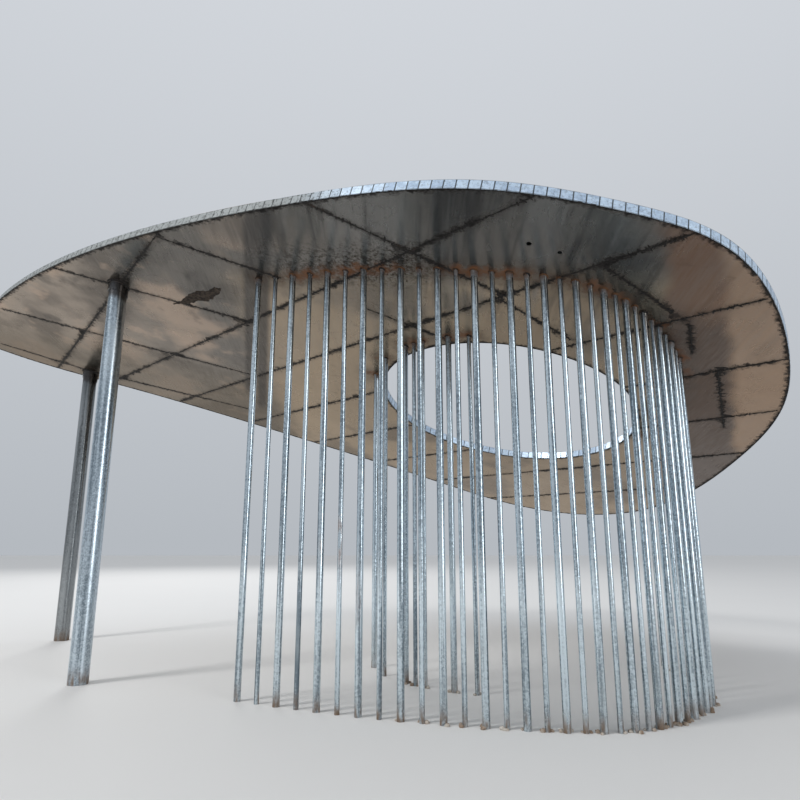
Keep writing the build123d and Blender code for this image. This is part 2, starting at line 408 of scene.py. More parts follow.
class Pattern:
    """A value that varies over a piece. Plain arithmetic on it adds Math nodes to its tree."""

    def __init__(self, tree: Tree, socket: Socket) -> None:
        """Keeps the tree, and the socket that gives the value."""
        self.tree, self.socket = tree, socket

    def math(self, operation: str, other: Pattern | float = 0.0) -> Pattern:
        """What a Math node makes of the value and another."""
        return self.tree.node("Math", {0: self, 1: other}, 0, operation=operation)

    def __add__(self, other: Pattern | float) -> Pattern:
        """The sum of two values."""
        return self.math("ADD", other)

    def __sub__(self, other: Pattern | float) -> Pattern:
        """The value less another."""
        return self.math("SUBTRACT", other)

    def __rsub__(self, other: float) -> Pattern:
        """A number less the value."""
        return self.tree.node("Math", {0: other, 1: self}, 0, operation="SUBTRACT")

    def __mul__(self, other: Pattern | float) -> Pattern:
        """The product of two values."""
        return self.math("MULTIPLY", other)

    def __or__(self, other: Pattern | float) -> Pattern:
        """The larger of two values."""
        return self.math("MAXIMUM", other)

    def about(self, size: float) -> Pattern:
        """The value moved to lie about nought, as high and low as a size."""
        return (self - 0.5) * size

    def span(self, low: float, high: float, start: float = 0.0, end: float = 1.0) -> Pattern:
        """The value with low mapped to start and high to end, smoothly and without going past them."""
        sockets = {"Value": self, "From Min": low, "From Max": high, "To Min": start, "To Max": end}
        return self.tree.node("MapRange", sockets, "Result", interpolation_type="SMOOTHSTEP")

    def near(self, middle: float, inner: float, outer: float) -> Pattern:
        """One where the value lies near a middle, nought where it lies far from it."""
        return (self - middle).math("ABSOLUTE").span(inner, outer, 1.0, 0.0)

    def bump(self, depth: float, strength: float, under: Pattern | None = None) -> Pattern:
        """A normal bumped by the value, to a depth in metres, over another normal."""
        sockets = {"Height": self, "Distance": depth, "Strength": strength}
        return self.tree.node("Bump", sockets | ({"Normal": under} if under else {}), "Normal")


class Tree:
    """A node tree while it is being built."""

    def __init__(self, owner: Material | bpy.types.World) -> None:
        """Empties the tree of a new material or world."""
        owner.use_nodes = True
        self.nodes, self.links = owner.node_tree.nodes, owner.node_tree.links
        self.nodes.clear()

    def add(self, kind: str, sockets: dict[str | int, object], **options: str) -> bpy.types.Node:
        """Adds one node.

        Args:
            kind: Its type, less the prefix that they share.
            sockets: The patterns, numbers and colours that go into its inputs.
            options: Its other settings.

        Returns:
            The new node.
        """
        node = self.nodes.new(f"ShaderNode{kind}")
        for option, choice in options.items():
            setattr(node, option, choice)
        for name, value in sockets.items():
            socket = node.inputs[name]
            if isinstance(value, Pattern):
                self.links.new(value.socket, socket)
            else:
                socket.default_value = (*value, 1.0) if socket.type == "RGBA" else value
        return node

    def node(self, kind: str, sockets: dict[str | int, object], output: str | int, **options: str) -> Pattern:
        """The pattern that one output of a new node gives."""
        return Pattern(self, self.add(kind, sockets, **options).outputs[output])


class Bench(Tree):
    """A material while it is being built."""

    def __init__(self, name: str) -> None:
        """Starts an empty material with Object coordinates."""
        self.material = bpy.data.materials.new(name)
        super().__init__(self.material)
        self.place = self.node("TexCoord", {}, "Object")

    def axis(self, name: str) -> Pattern:
        """One of a spot's three Object coordinates."""
        return self.node("SeparateXYZ", {"Vector": self.place}, name)

    def layer(self, name: str) -> Pattern:
        """A number kept on the piece's mesh."""
        return self.node("Attribute", {}, "Fac", attribute_name=name)

    def below_soffit(self) -> Pattern:
        """How far a spot lies under the soffit."""
        rise = self.node("VectorMath", {0: self.place, 1: PLANE.normal}, "Value", operation="DOT_PRODUCT")
        return PLANE.normal.dot(Vector(PLANE.datum)) - rise

    def leaned(self, push: Sequence[float]) -> Pattern:
        """The surface's normal after a small push to one side."""
        pushed = self.node("VectorMath", {0: self.node("NewGeometry", {}, "Normal"), 1: push}, "Vector")
        return self.node("VectorMath", {0: pushed}, "Vector", operation="NORMALIZE")

    def spangle(self, scale: float) -> Pattern:
        """The random tone of each zinc crystal."""
        crystals = self.node("TexVoronoi", {"Scale": scale, "Vector": self.place}, "Color")
        return self.node("SeparateColor", {"Color": crystals}, "Red")

    def noise(
        self, scale: float, detail: float, rough: float = 0.55, stretch: Triple = EVEN, turn: float = 0.0
    ) -> Pattern:
        """A cloudy pattern.

        Args:
            scale: How fine it is.
            detail: How many finer patterns lie over it.
            rough: How strong those are.
            stretch: The scale along each axis, where a small one draws the pattern out.
            turn: Its turn about the upright.

        Returns:
            The pattern, from nought to one.
        """
        place = self.place
        if turn or stretch != EVEN:
            sockets = {"Vector": place, "Scale": stretch, "Rotation": (0.0, 0.0, turn)}
            place = self.node("Mapping", sockets, "Vector")
        sockets = {"Scale": scale, "Detail": detail, "Roughness": rough, "Vector": place}
        return self.node("TexNoise", sockets, "Fac")

    def coats(self, colour: Pattern | Colour, *coats: tuple[Pattern | float, Colour]) -> Pattern:
        """Lays coats over a colour, one after another.

        Args:
            colour: The colour underneath.
            coats: How much of each coat shows, and its colour.

        Returns:
            The colour on top.
        """
        for amount, coat in coats:
            colour = self.node("Mix", {0: amount, 6: colour, 7: coat}, 2, data_type="RGBA")
        return colour

    def finish(
        self,
        colour: Pattern,
        roughness: Pattern | float,
        metal: Pattern | float,
        normal: Pattern | None = None,
        glance: float = 0.5,
        tint: Colour = EVEN,
    ) -> Material:
        """Joins the patterns to a shader.

        Args:
            colour: The base colour.
            roughness: How matt it is.
            metal: How far it mirrors as metal does.
            normal: The bumped normal.
            glance: How strongly it mirrors at a glancing angle.
            tint: The tint of what it mirrors there.

        Returns:
            The finished material.
        """
        sockets = {"Base Color": colour, "Roughness": roughness, "Metallic": metal}
        sockets |= {"Specular IOR Level": glance, "Specular Tint": tint}
        if normal:
            sockets["Normal"] = normal
        surface = self.node("BsdfPrincipled", sockets, "BSDF")
        self.add("OutputMaterial", {"Surface": surface})
        return self.material


@dataclass(frozen=True)
class Galvanised:
    """Zinc-coated steel: crystals, streaks drawn along the piece that are partly painted highlight stripes, dull bloom,
    painted shade darkening its upper part under the soffit, and stains at its two ends.
    """

    name: str
    pale: Colour = (0.70, 0.80, 0.86)
    dark: Colour = (0.20, 0.25, 0.29)
    bloom: Colour = (0.50, 0.56, 0.58)
    painted_shade: Colour = (0.095, 0.105, 0.115)
    burnt: Colour = (0.070, 0.064, 0.062)
    rust: Colour = (0.115, 0.058, 0.030)
    run: Colour = (0.20, 0.085, 0.035)
    soil: Colour = (0.17, 0.115, 0.075)
    roughness: Pair = (0.11, 0.27)
    streak: float = 46.0
    painted_shade_depth: float = 0.50
    painted_shade_reach: float = 0.85
    head_rust: float = 0.10
    foot_soil: float = 0.22
    collar: float = 0.0

    def build(self) -> Material:
        """The finished material."""
        bench = Bench(self.name)
        # Drawn streaks along the piece: partly the zinc's own marks, partly painted highlight stripes.
        drawn = bench.noise(self.streak, 3.0, stretch=(1.0, 1.0, 0.012))
        broad = bench.noise(9.0, 5.0, stretch=(1.0, 1.0, 0.10))
        tone = drawn * 0.62 + broad * 0.30 + bench.spangle(70.0) * 0.10
        bloom = bench.noise(3.1, 7.0, 0.62, (1.0, 1.0, 0.4))
        patchy = bench.noise(23.0, 5.0, stretch=(1.0, 1.0, 0.25))
        below = bench.below_soffit()
        burnt = 0.0
        if self.collar:
            burnt = (below + patchy.about(0.06)).span(self.collar - 0.01, self.collar + 0.06, 0.88, 0.0)
        stain = below.span(0.0, self.head_rust, 1.0, 0.0) * patchy.span(0.38, 0.62)
        drips = bench.noise(30.0, 5.0, stretch=(1.0, 1.0, 0.12)).span(0.42, 0.60)
        runs = bench.noise(1.15, 3.0, stretch=(1.0, 1.0, 0.5)).span(0.66, 0.76) * drips
        muddy = bench.axis("Z").span(0.0, self.foot_soil, 1.0, 0.0) * patchy.span(0.30, 0.62)
        colour = bench.coats(
            self.dark,
            (tone.span(0.37, 0.60), self.pale),
            (bloom.span(0.52, 0.72, 0.0, 0.55), self.bloom),
            # Painted shade: the piece darker towards the soffit, over its upper part.
            (below.span(0.0, self.painted_shade_reach, self.painted_shade_depth, 0.0), self.painted_shade),
            (burnt, self.burnt),
            (stain, self.rust),
            (runs * below.span(0.3, 1.2), self.run),
            (muddy, self.soil),
        )
        dull = stain | muddy | runs
        roughness = (bloom + dull * 0.6).span(0.3, 1.1, *self.roughness) + dull * 0.35
        streaked = drawn.bump(0.0012, 0.22, bench.noise(1.6, 2.0).bump(0.006, 0.25))
        normal = bench.noise(90.0, 3.0).bump(0.0006, 0.40, streaked)
        return bench.finish(colour, roughness, dull.span(0.0, 1.0, 1.0, 0.15), normal)


@dataclass(frozen=True)
class SoffitSheet:
    """The underside: rolled sheet with scorched seams, rust by the tubes, brown film, and painted reflections: soft
    light and dark patches, a light patch, upright streaks and dark bands, and brown and grey tones that partly stand
    for the mirrored ground.
    """

    name: str = "soffit_galvanised"
    grey: Colour = (0.165, 0.157, 0.145)
    olive: Colour = (0.130, 0.113, 0.088)
    pale: Colour = (0.340, 0.292, 0.245)
    painted_light_blotch: Colour = (0.47, 0.365, 0.285)
    gold: Colour = (0.42, 0.335, 0.240)
    brown: Colour = (0.235, 0.152, 0.110)
    deep: Colour = (0.075, 0.043, 0.026)
    tan: Colour = (0.42, 0.300, 0.215)
    bare: Colour = (0.36, 0.34, 0.32)
    scorch: Colour = (0.007, 0.006, 0.006)
    rust: Colour = (0.200, 0.082, 0.034)
    smoke: Colour = (0.060, 0.050, 0.042)
    # Painted shade: the colour of the dark blotches and of the dark reflection streaks.
    painted_shade: Colour = (0.052, 0.052, 0.053)
    soot: Colour = (0.040, 0.033, 0.026)
    # The colour of the painted highlights, and of the pale specks in the soot.
    highlight_and_pale_speck: Colour = (0.270, 0.262, 0.250)
    glance_tint: Colour = (0.86, 0.79, 0.73)
    # Painted reflections: dark upright bands by the first tubes, each a direction, an offset and a reach back.
    dark_reflection_tone: Colour = (0.048, 0.049, 0.050)
    dark_reflection_bands: tuple[tuple[Pair, float, Pair], ...] = (
        ((0.976, 0.218), -0.837, (1.0, 1.4)),
        ((0.979, 0.203), -0.677, (1.5, 1.9)),
    )
    rusty_heads: tuple[Triple, ...] = ((0.45, 0.35, 0.65), (1.92, 0.25, 0.50))
    roughness: Pair = (0.16, 0.30)
    front_lean: float = 0.377
    roll_turn: float = math.radians(38)
    smear_turn: float = math.radians(30)

    def base(self, bench: Bench, x: Pattern, y: Pattern) -> tuple[Pattern, Pattern]:
        """The sheet's broad tones: warm at the left, dark in the middle, brown from a soft front on the right; partly
        the sheet's own film and partly painted reflections of the ground, with painted light and dark blotches, a
        painted light patch and painted dark bands.

        Args:
            bench: The material's bench.
            x: How far along a spot lies.
            y: How far back it lies.

        Returns:
            The colour, and how far the brown film at the right dulls it.
        """
        cloud = bench.noise(0.95, 3.5, 0.5)
        puff = bench.noise(2.3, 3.0, turn=0.7)
        wander = bench.noise(1.3, 3.0).about(0.35)
        left = x.span(-1.0, 1.2, 1.0, 0.35) * y.span(-2.7, -2.0, 0.2, 1.0)
        behind = (y + x * 0.327 + wander).span(-2.30, -1.85, 0.0, 0.85) * x.span(-1.0, -0.3)
        front = x - y * self.front_lean + wander
        hollow = front.span(4.50, 4.66) * y.span(-2.95, -2.50)
        beyond = (x - y * 0.5 + wander).span(5.34, 5.52, 0.0, 0.92)
        colour = bench.coats(
            self.pale,
            ((x + bench.noise(0.45, 3.0).about(2.6)).span(-3.4, -0.7), self.grey),
            # Painted reflections: soft light blotches at the left, and soft dark blotches all over, more of them at the
            # left.
            (cloud.span(0.50, 0.63, 0.0, 0.80) * left, self.painted_light_blotch),
            (cloud.span(0.33, 0.49, 0.58, 0.0), self.painted_shade),
            (puff.span(0.56, 0.70, 0.0, 0.6) * left, self.painted_light_blotch),
            (puff.span(0.30, 0.44, 0.5, 0.0) * left, self.painted_shade),
            (y.span(0.0, 1.3, 0.0, 0.68) * x.span(-0.6, 0.3, 1.0, 0.0), self.olive),
            # Painted highlight: a light patch at the front, about x = 0.82.
            (x.near(0.82, 0.20, 0.48) * y.span(-2.85, -2.60, 0.7, 0.0), self.highlight_and_pale_speck),
            (behind * cloud.span(0.36, 0.50, 0.45, 1.0), self.gold),
            (front.span(4.44, 4.62, 0.0, 0.95), self.brown),
            (hollow * 0.9, self.deep),
            (beyond, self.tan),
        )
        # Painted reflections: the dark upright bands.
        for (turn_x, turn_y), offset, reach in self.dark_reflection_bands:
            dark_reflection_band = (x * turn_x + y * turn_y).near(offset, 0.030, 0.105)
            colour = bench.coats(colour, (dark_reflection_band * y.span(*reach, 0.85, 0.0), self.dark_reflection_tone))
        return colour, hollow * beyond.span(0.0, 0.9, 0.75, 0.0)

    def build(self) -> Material:
        """The finished material."""
        bench = Bench(self.name)
        x, y = bench.axis("X"), bench.axis("Y")
        colour, dulled = self.base(bench, x, y)
        seam, head = bench.layer("seam"), bench.layer("head")
        fine = bench.noise(19.0, 6.0, 0.65)
        uneven = fine.about(0.070)
        rolled = bench.noise(46.0, 3.0, stretch=(1.0, 0.05, 0.3), turn=self.roll_turn)
        grain = bench.layer("plate") * 0.30 + rolled * 0.7
        # Where the painted reflection streaks and the soot show: in front of the screen of tubes, less at the left and
        # past the brown front on the right.
        right = (x - y * self.front_lean + fine.about(0.3)).span(4.35, 4.65, 1.0, 0.25)
        outer = y.span(-2.5, -1.9, 1.0, 0.10) * x.span(-1.0, 0.3, 0.15, 1.0) * right
        # Painted reflections: dark and bright streaks that run up the sheet.
        dark_reflection_streaks = bench.noise(5.2, 3.0, stretch=(1.0, 0.05, 0.3), turn=-0.06)
        bright = bench.noise(3.7, 2.5, stretch=(1.0, 0.09, 0.3), turn=-0.06)

        frayed = seam + bench.noise(31.0, 7.0, 0.78).about(0.17)
        torn = seam + bench.noise(11.0, 9.0, 0.78).about(0.42)
        gate = bench.noise(5.5, 3.0).span(0.38, 0.52, 0.45, 1.0)
        halo = frayed.span(0.0, 0.018, 0.97, 0.0) * gate
        heat = (frayed + uneven).span(0.0, 0.085, 0.32, 0.0) * gate
        burnt = torn.span(-0.010, 0.045, 0.92, 0.0) * bench.noise(1.4, 3.0).span(0.40, 0.54, 0.25, 1.0)
        ragged = head + bench.noise(8.0, 7.0, 0.72).about(0.36)
        rust_gate = bench.noise(1.25, 2.0, turn=0.4).span(0.44, 0.60, 0.12, 0.8)
        for middle, inner, outside in self.rusty_heads:
            rust_gate |= x.near(middle, inner, outside)
        rusty = ragged.span(0.0, 0.14, 0.92, 0.0) * rust_gate
        specks = bench.noise(27.0, 8.0, 0.78)
        sooty = head.span(0.10, 0.62, 1.0, 0.0) * x.span(1.0, 1.7, 1.0, 0.0) * outer
        # Darker along the roof's rim and the opening's rim, under the edge strips.
        rim_darkening = (bench.layer("rim") + uneven * 2.4).span(0.005, 0.060, 0.95, 0.0)
        smears = bench.noise(4.2, 8.0, 0.70, (1.0, 2.6, 1.0), self.smear_turn)
        colour = bench.coats(
            colour,
            (grain.span(0.28, 0.72, 0.0, 0.22), self.bare),
            (dark_reflection_streaks.span(0.50, 0.62, 0.0, 0.55) * outer, self.painted_shade),
            (bright.span(0.52, 0.66, 0.0, 0.60) * outer, self.highlight_and_pale_speck),
            (smears.span(0.58, 0.74, 0.0, 0.45), self.smoke),
            (ragged.span(0.02, 0.30, 0.62, 0.0), self.smoke),
            (specks.span(0.435, 0.495, 0.8, 0.0) * sooty, self.highlight_and_pale_speck),
            (specks.span(0.505, 0.565) * sooty, self.soot),
            (heat, self.smoke),
            (rim_darkening, self.scorch),
            (burnt, self.scorch),
            (rusty, self.rust),
            (halo, self.scorch),
        )

        dull = (rusty | halo) | (rim_darkening | burnt)
        sheen = bench.noise(2.4, 6.0).span(0.32, 0.68, *self.roughness) + rolled.about(0.10)
        metal = (dull | dulled).span(0.0, 1.0, 1.0, 0.12)
        buckled = bench.noise(1.0, 2.0).bump(0.06, 0.13, bench.leaned((PLANE.normal.x, 0.0, 0.0)))
        normal = bench.noise(30.0, 4.0).bump(0.0010, 0.16, buckled)
        return bench.finish(colour, sheen + dull * 0.45, metal, normal, 0.12, self.glance_tint)


@dataclass(frozen=True)
class DeckSheet:
    """The top sheets: weathered zinc with dust in the lows and dark seams."""

    name: str = "deck_galvanised"
    zinc: Colour = (0.33, 0.36, 0.39)
    pale: Colour = (0.47, 0.50, 0.53)
    dust: Colour = (0.34, 0.31, 0.26)
    dark: Colour = (0.11, 0.10, 0.09)

    def build(self) -> Material:
        """The finished material."""
        bench = Bench(self.name)
        tone = bench.spangle(26.0) * 0.4 + bench.noise(1.4, 6.0) * 0.6
        fine = bench.noise(30.0, 5.0)
        drift = bench.noise(0.9, 8.0, 0.62).span(0.48, 0.70, 0.0, 0.75)
        halo = (bench.layer("seam") + fine.about(0.07)).span(0.004, 0.045, 0.7, 0.0)
        coats = (tone.span(0.25, 0.75), self.pale), (drift, self.dust), (halo, self.dark)
        roughness = drift.span(0.0, 0.75, 0.56, 0.74) + halo * 0.2
        metal = (drift | halo).span(0.0, 0.75, 0.70, 0.30)
        normal = fine.bump(0.0008, 0.3, bench.noise(1.0, 2.0).bump(0.04, 0.2))
        return bench.finish(bench.coats(self.zinc, *coats), roughness, metal, normal, 0.3)


@dataclass(frozen=True)
class EdgeStrip:
    """The creased strip round the roof: mottled zinc, cool and bright in front, pitted and grey at the left, with
    painted shade in its slits.
    """

    name: str = "edge_galvanised"
    cool: Colour = (0.47, 0.59, 0.74)
    pale: Colour = (0.72, 0.86, 1.00)
    grey: Colour = (0.250, 0.255, 0.238)
    pit: Colour = (0.060, 0.060, 0.056)
    slit: Colour = (0.030, 0.033, 0.038)

    def build(self) -> Material:
        """The finished material."""
        bench = Bench(self.name)
        mottle = bench.noise(24.0, 8.0, 0.72)
        tone = bench.layer("flat") * 0.16 + mottle * 0.84
        place = bench.axis("X") + bench.noise(0.8, 4.0).about(1.4)
        rough_zinc = place.span(0.1, 1.3, 0.90, 0.0)
        pits = bench.noise(34.0, 8.0, 0.78).span(0.50, 0.60)
        # Painted shade: the recessed slits at the creases are coloured dark.
        slits = bench.layer("slit") * place.span(-0.8, 0.9, 0.30, 0.92)
        colour = bench.coats(
            self.cool,
            (tone.span(0.32, 0.66), self.pale),
            (rough_zinc, self.grey),
            (pits * rough_zinc.span(0.0, 0.88, 0.35, 0.85), self.pit),
            (slits, self.slit),
        )
        roughness = (mottle + rough_zinc).span(0.3, 1.3, 0.30, 0.60)
        metal = rough_zinc.span(0.0, 0.9, 0.9, 0.35) * slits.span(0.0, 0.9, 1.0, 0.1)
        return bench.finish(colour, roughness, metal, mottle.bump(0.0022, 0.5, pits.bump(0.0012, 0.4)), 0.3)


@dataclass(frozen=True)
class Weld:
    """Weld metal left as it cooled: dark scale with rust in the hollows."""

    name: str
    scale: Colour = (0.007, 0.006, 0.006)
    bright: Colour = (0.042, 0.038, 0.035)
    rust: Colour = (0.150, 0.072, 0.034)
    rusty: float = 0.5

    def build(self) -> Material:
        """The finished material."""
        bench = Bench(self.name)
        grain = bench.noise(60.0, 6.0, 0.7)
        patches = bench.noise(4.0, 4.0).span(0.65 - 0.3 * self.rusty, 0.75 - 0.2 * self.rusty)
        colour = bench.coats(self.scale, (grain.span(0.35, 0.7), self.bright), (patches * 0.85, self.rust))
        return bench.finish(colour, grain.span(0.2, 0.8, 0.45, 0.75), 0.15, grain.bump(0.003, 0.7), 0.15)


@dataclass(frozen=True)
class Mortar:
    """Lumps of pale mortar and soil left at the tubes' feet."""

    name: str = "foot_mortar"
    pale: Colour = (0.56, 0.52, 0.46)
    soil: Colour = (0.27, 0.19, 0.13)
    dark: Colour = (0.14, 0.11, 0.08)

    def build(self) -> Material:
        """The finished material."""
        bench = Bench(self.name)
        grain = bench.noise(40.0, 6.0, 0.7)
        patches = bench.noise(6.0, 4.0).span(0.4, 0.6)
        colour = bench.coats(self.pale, (patches, self.soil), (grain.span(0.4, 0.8, 0.0, 0.5), self.dark))
        return bench.finish(colour, 0.9, 0.0, grain.bump(0.004, 0.8))


@dataclass(frozen=True)
class TornFilm:
    """Brown film left on the torn patch: dry, mottled and nearly matt."""

    name: str = "torn_film"
    brown: Colour = (0.070, 0.054, 0.042)
    black: Colour = (0.020, 0.016, 0.014)

    def build(self) -> Material:
        """The finished material."""
        bench = Bench(self.name)
        grain = bench.noise(26.0, 8.0, 0.75)
        colour = bench.coats(self.black, (grain.span(0.40, 0.60), self.brown))
        return bench.finish(colour, 0.8, 0.0, grain.bump(0.003, 0.7), 0.1)


@dataclass(frozen=True)
class Cladding:
    """How one side of the roof is cut into sheets."""

    kind: str
    slot: Slot
    cuts: tuple[int, ...]
    split: tuple[int, ...]
    level: float
    first: int
    sag: float
    holes: tuple[Triple, ...] = ()
    heads: tuple[Vector, ...] = ()


@dataclass
class RoofSheets:
    """The soffit and deck sheets, cut to a smooth outline and buckled a little between their seams."""

    layout: Layout
    half: float = 7.2
    cell: float = 0.15
    margin: float = 0.07
    soffit_sag: float = 0.0022
    deck_sag: float = 0.002
    deck_first: int = 20
    holes: tuple[Triple, ...] = ((3.955, -0.598, 0.024), (4.117, -0.380, 0.020))
    hole_corners: int = 14
    head_reach: float = 0.2
    seam_hold: float = 0.4
    head_hold: float = 0.3
    wave_scale: float = 1.1
    wave_step: float = 3.7
    wave_size: Pair = (0.6, 0.8)

    def blank(self, holes: Sequence[Triple]) -> Mesh:
        """Draws a flat net over the whole roof: even squares, joined to the outline and to the openings.

        Args:
            holes: The middle and radius of each small hole burnt through it.

        Returns:
            The net.
        """
        bm = bmesh.new()
        count = round(2 * self.half / self.cell)
        bmesh.ops.create_grid(bm, x_segments=count, y_segments=count, size=self.half)
        rims = [self.layout.outline, self.layout.oculus, *map(self.hole_rim, holes)]
        places = rows(v.co for v in bm.verts)
        keep = inside(places, rims[0])
        for number, rim in enumerate(rims):
            keep &= distances(places, closed_lines(rim)) > (self.margin if number < 2 else self.cell * 0.8)
            if number:
                keep &= ~inside(places, rim)
        bmesh.ops.delete(bm, geom=[v for v, kept in zip(list(bm.verts), keep) if not kept], context="VERTS")
        bmesh.ops.delete(bm, geom=[v for v in bm.verts if not v.link_faces], context="VERTS")
        bmesh.ops.delete(bm, geom=[e for e in bm.edges if not e.link_faces], context="EDGES")
        for rim in rims:
            closed_edges(bm, rim)
        border = [e for e in bm.edges if len(e.link_faces) < 2]
        bmesh.ops.triangle_fill(bm, use_beauty=True, use_dissolve=False, edges=border)
        return bm

    def hole_rim(self, hole: Triple) -> list[Vector]:
        """The uneven rim of one small hole.

        Args:
            hole: Its middle (u, v) and its radius.

        Returns:
            The rim's corners.
        """
        u, v, radius = hole
        dice = random.Random(round(u * 100))
        rim = []
        for turn in turns(self.hole_corners):
            reach = radius * dice.uniform(0.8, 1.2)
            rim.append(flat(u + reach * math.cos(turn), v + reach * math.sin(turn)))
        return rim

    def refine(self, bm: Mesh, places: Sequence[Vector]) -> None:
        """Divides the squares near some places twice.

        Args:
            bm: The net.
            places: The heads of the tubes and posts.
        """
        points = rows(places)
        for share in (1.0, 0.75):
            edges = set()
            for face in bm.faces:
                centre = face.calc_center_median()
                gap = np.hypot(points[:, 0] - centre.x, points[:, 1] - centre.y).min()
                if len(face.verts) == 4 and gap < self.head_reach * share:
                    edges.update(face.edges)
            bmesh.ops.subdivide_edges(bm, edges=list(edges), cuts=1, use_grid_fill=True)

    def crease(self, bm: Mesh, room: float = 0.2) -> None:
        """Cuts the net along the cross seams, so that distances to them are true.

        Args:
            bm: The net.
            room: How far from a seam faces are cut.
        """
        for (u0, v0), (u1, v1) in self.layout.cross_seams:
            facing = flat(v0 - v1, u1 - u0).normalized()
            faces = list(bm.faces)
            near = distances(rows(face.calc_center_median() for face in faces), [((u0, v0), (u1, v1))]) < room
            geom = {item for face, close in zip(faces, near) if close for item in (face, *face.edges, *face.verts)}
            bmesh.ops.bisect_plane(bm, geom=list(geom), dist=TOUCH, plane_co=(u0, v0, 0.0), plane_no=facing)

    def strip(self, base: Mesh, above: Pair, below: Pair, sides: Pair) -> Mesh:
        """Cuts one sheet from a net.

        Args:
            base: The net, which stays whole.
            above: Where the seam at its upper edge starts, and how it leans.
            below: The same of the seam at its lower edge.
            sides: The values of u at its two ends.

        Returns:
            The sheet's own net.
        """
        bm = base.copy()
        for place, facing in (
            (flat(0.0, above[0]), flat(above[1], -1.0)),
            (flat(0.0, below[0]), flat(-below[1], 1.0)),
            (flat(sides[0], 0.0), flat(-1.0, 0.0)),
            (flat(sides[1], 0.0), flat(1.0, 0.0)),
        ):
            cut = {"dist": TOUCH, "plane_co": place, "plane_no": facing.normalized(), "clear_outer": True}
            bmesh.ops.bisect_plane(bm, geom=[*bm.verts, *bm.edges, *bm.faces], **cut)
        return bm

    def shape(self, bm: Mesh, side: Cladding, number: int, lines: Sequence[Line]) -> Mesh:
        """Buckles a sheet, notes its distances and gives it its thickness.

        Args:
            bm: The flat net of the sheet.
            side: The side of the roof it lies on.
            number: The sheet's number, which sets its tone.
            lines: The seams that it is scorched along.

        Returns:
            The same mesh.
        """
        places = rows(v.co for v in bm.verts)
        seam = distances(places, lines)
        rim = distances(places, closed_lines(self.layout.outline) + closed_lines(self.layout.oculus))
        head = np.full(len(places), FAR)
        for spot in side.heads:
            head = np.minimum(head, np.hypot(places[:, 0] - spot.x, places[:, 1] - spot.y))
        layers = [bm.verts.layers.float.new(name) for name in ("seam", "head", "rim")]
        plate = bm.faces.layers.float.new("plate")
        tone = random.Random(31 * number + 7).random()
        for vertex, *near in zip(bm.verts, seam, head, rim):
            for layer, gap in zip(layers, near):
                vertex[layer] = gap
            near_seam, near_head, near_rim = near
            held = min(1.0, near_seam / self.seam_hold, near_rim / self.seam_hold, near_head / self.head_hold)
            u, v = (part * self.wave_scale for part in vertex.co.xy)
            wave = self.wave_size[0] + self.wave_size[1] * noise.noise(Vector((u, v, number * self.wave_step)))
            vertex.co.z -= side.sag * held * held * (3 - 2 * held) * wave
        for face in bm.faces:
            face[plate] = tone
        raised = made_verts(bmesh.ops.extrude_face_region(bm, geom=bm.faces[:]))
        bmesh.ops.translate(bm, verts=raised, vec=(0.0, 0.0, PLANE.sheet))
        bmesh.ops.translate(bm, verts=bm.verts[:], vec=(0.0, 0.0, side.level))
        bmesh.ops.recalc_face_normals(bm, faces=bm.faces[:])
        return bm

    def courses(self, side: Cladding) -> Iterator[tuple[str, Pair, Pair, Pair]]:
        """Goes through the sheets of one side.

        Args:
            side: The side of the roof.

        Yields:
            Each sheet's name, the seams above and below it, and the values of u at its ends.
        """
        middle = self.layout.oculus_centre[0]
        edges = [(-FAR, 0.0), *(self.layout.level_seams[cut] for cut in side.cuts), (FAR, 0.0)]
        for number, (above, below) in enumerate(zip(edges, edges[1:]), 1):
            name = f"{side.kind}_{number}"
            if number in side.split:
                yield f"{name}_left", above, below, (-FAR, middle)
                yield f"{name}_right", above, below, (middle, FAR)
            else:
                yield name, above, below, (-FAR, FAR)

    def lay(self, side: Cladding, lines: Sequence[Line], finish: Material) -> None:
        """Makes each sheet of one side in place of its CAD node.

        Args:
            side: The side of the roof.
            lines: The seams that its sheets are scorched along.
            finish: The sheets' material.
        """
        base = self.blank(side.holes)
        if side.heads:
            self.refine(base, side.heads)
            self.crease(base)
        for number, (name, above, below, sides) in enumerate(self.courses(side), side.first):
            bm = self.shape(self.strip(base, above, below, sides), side, number, lines)
            link(f"{name}_sheet", bm, finish, [name])
        base.free()

    def build(self, soffit_finish: Material, deck_finish: Material) -> None:
        """Makes the soffit and the deck.

        Args:
            soffit_finish: The material of the underside.
            deck_finish: The material of the top.
        """
        layout = self.layout
        heads = tuple(PLANE.head(spot) for spot, _ in layout.tubes + layout.posts)
        seams = tuple(range(len(layout.level_seams)))
        soffit = Cladding("soffit", Slot.SOFFIT, seams, (4, 5, 6, 7), 0.0, 0, self.soffit_sag, self.holes, heads)
        level = PLANE.depth - PLANE.sheet
        deck = Cladding("deck", Slot.DECK, layout.deck_seams, (2, 3, 4), level, self.deck_first, self.deck_sag)
        self.lay(soffit, layout.seam_lines(), soffit_finish)
        self.lay(deck, layout.deck_lines(), deck_finish)


